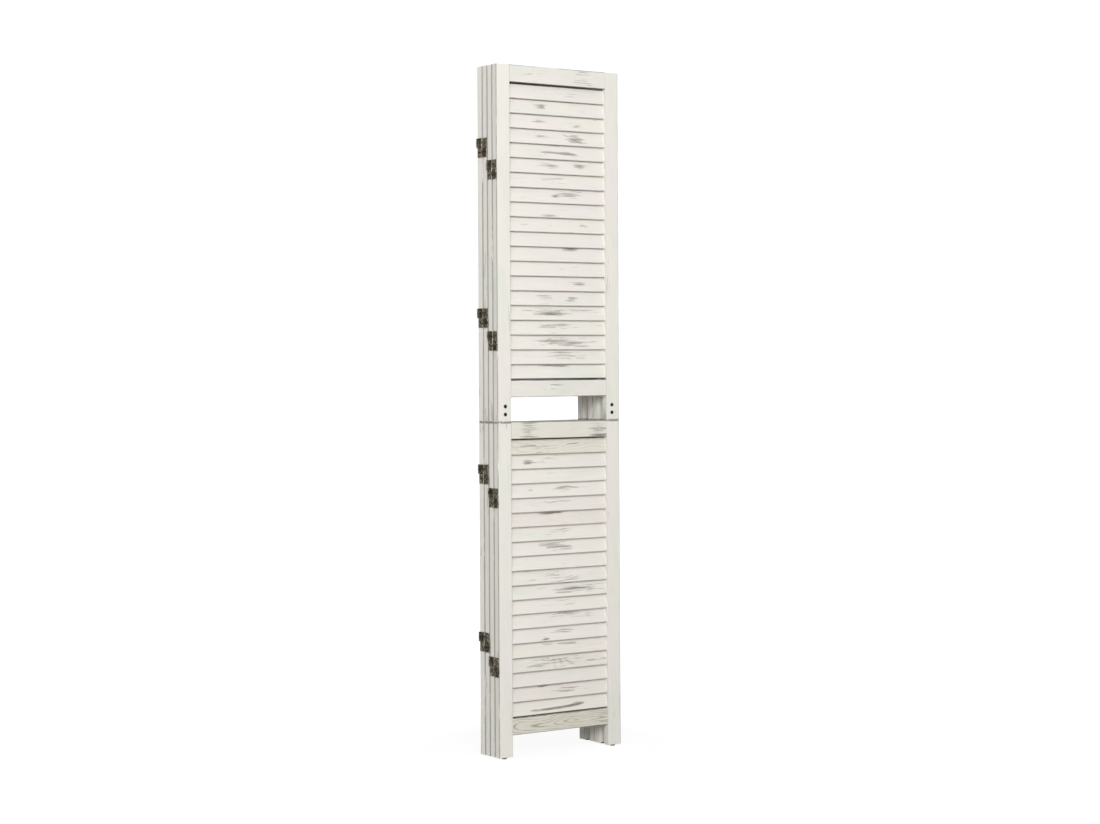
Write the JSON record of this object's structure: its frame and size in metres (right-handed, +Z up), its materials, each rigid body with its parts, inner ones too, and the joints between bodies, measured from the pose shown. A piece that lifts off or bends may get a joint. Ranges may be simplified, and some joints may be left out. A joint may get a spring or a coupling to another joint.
{
  "type": "folding screen",
  "caption": "Slim louvred wooden folding screen: stacked panels, each of two framed louvre sections with a hand slot between them, joined edge to edge by two-way hinges.",
  "frame": {"origin": "centre of the bounding box on the floor, under the folded screen", "axes": "+X to the viewer's right along the panels' faces, +Y away from the viewer through the stack, +Z up"},
  "size_m": [0.3578, 0.1208, 1.65],
  "materials": {
    "whitewashed_frame_wood": "whitewashed over the grain, satin, with worn and bare streaks",
    "whitewashed_slat_wood": "whitewashed over the grain, satin, with worn and bare streaks",
    "antique_bronze_plate": "antique bronze plating, satin",
    "dark_plated_steel": "dark plating, satin",
    "grey_plastic": "matte"
  },
  "bodies": {
    "panel_1": {"panel_1_upper_left_stile": "whitewashed_frame_wood", "panel_1_upper_right_stile": "whitewashed_frame_wood", "panel_1_lower_left_stile": "whitewashed_frame_wood", "panel_1_lower_right_stile": "whitewashed_frame_wood", "panel_1_upper_top_rail": "whitewashed_frame_wood", "panel_1_upper_bottom_rail": "whitewashed_frame_wood", "panel_1_lower_top_rail": "whitewashed_frame_wood", "panel_1_lower_bottom_rail": "whitewashed_frame_wood", "panel_1_slats": "whitewashed_slat_wood", "panel_1_joining_bolts": "dark_plated_steel", "panel_1_glides": "grey_plastic", "panel_1_hinge_leaves": "antique_bronze_plate", "panel_1_hinge_straps": "antique_bronze_plate", "panel_1_hinge_pins": "dark_plated_steel", "panel_1_hinge_screws": "dark_plated_steel"},
    "panel_2": {"panel_2_upper_left_stile": "whitewashed_frame_wood", "panel_2_upper_right_stile": "whitewashed_frame_wood", "panel_2_lower_left_stile": "whitewashed_frame_wood", "panel_2_lower_right_stile": "whitewashed_frame_wood", "panel_2_upper_top_rail": "whitewashed_frame_wood", "panel_2_upper_bottom_rail": "whitewashed_frame_wood", "panel_2_lower_top_rail": "whitewashed_frame_wood", "panel_2_lower_bottom_rail": "whitewashed_frame_wood", "panel_2_slats": "whitewashed_slat_wood", "panel_2_joining_bolts": "dark_plated_steel", "panel_2_glides": "grey_plastic", "panel_2_hinge_leaves": "antique_bronze_plate", "panel_2_hinge_straps": "antique_bronze_plate", "panel_2_hinge_pins": "dark_plated_steel", "panel_2_hinge_screws": "dark_plated_steel"},
    "panel_3": {"panel_3_upper_left_stile": "whitewashed_frame_wood", "panel_3_upper_right_stile": "whitewashed_frame_wood", "panel_3_lower_left_stile": "whitewashed_frame_wood", "panel_3_lower_right_stile": "whitewashed_frame_wood", "panel_3_upper_top_rail": "whitewashed_frame_wood", "panel_3_upper_bottom_rail": "whitewashed_frame_wood", "panel_3_lower_top_rail": "whitewashed_frame_wood", "panel_3_lower_bottom_rail": "whitewashed_frame_wood", "panel_3_slats": "whitewashed_slat_wood", "panel_3_joining_bolts": "dark_plated_steel", "panel_3_glides": "grey_plastic", "panel_3_hinge_leaves": "antique_bronze_plate", "panel_3_hinge_straps": "antique_bronze_plate", "panel_3_hinge_pins": "dark_plated_steel", "panel_3_hinge_screws": "dark_plated_steel"},
    "panel_4": {"panel_4_upper_left_stile": "whitewashed_frame_wood", "panel_4_upper_right_stile": "whitewashed_frame_wood", "panel_4_lower_left_stile": "whitewashed_frame_wood", "panel_4_lower_right_stile": "whitewashed_frame_wood", "panel_4_upper_top_rail": "whitewashed_frame_wood", "panel_4_upper_bottom_rail": "whitewashed_frame_wood", "panel_4_lower_top_rail": "whitewashed_frame_wood", "panel_4_lower_bottom_rail": "whitewashed_frame_wood", "panel_4_slats": "whitewashed_slat_wood", "panel_4_joining_bolts": "dark_plated_steel", "panel_4_glides": "grey_plastic", "panel_4_hinge_leaves": "antique_bronze_plate", "panel_4_hinge_straps": "antique_bronze_plate", "panel_4_hinge_pins": "dark_plated_steel", "panel_4_hinge_screws": "dark_plated_steel"}
  },
  "joints": [
    {"name": "hinge_1_2", "type": "hinge", "parent": "panel_2", "child": "panel_1", "pos_m": [-0.17609, -0.02, 0], "axis": [0, 0, -1], "range_deg": [-3.5, 176.5]},
    {"name": "hinge_2_3", "type": "hinge", "parent": "panel_2", "child": "panel_3", "pos_m": [0.17731, 0, 0], "axis": [0, 0, -1], "range_deg": [0, 180]},
    {"name": "hinge_3_4", "type": "hinge", "parent": "panel_3", "child": "panel_4", "pos_m": [-0.17609, 0.02, 0], "axis": [0, 0, 1], "range_deg": [-3.5, 176.5]}
  ]
}
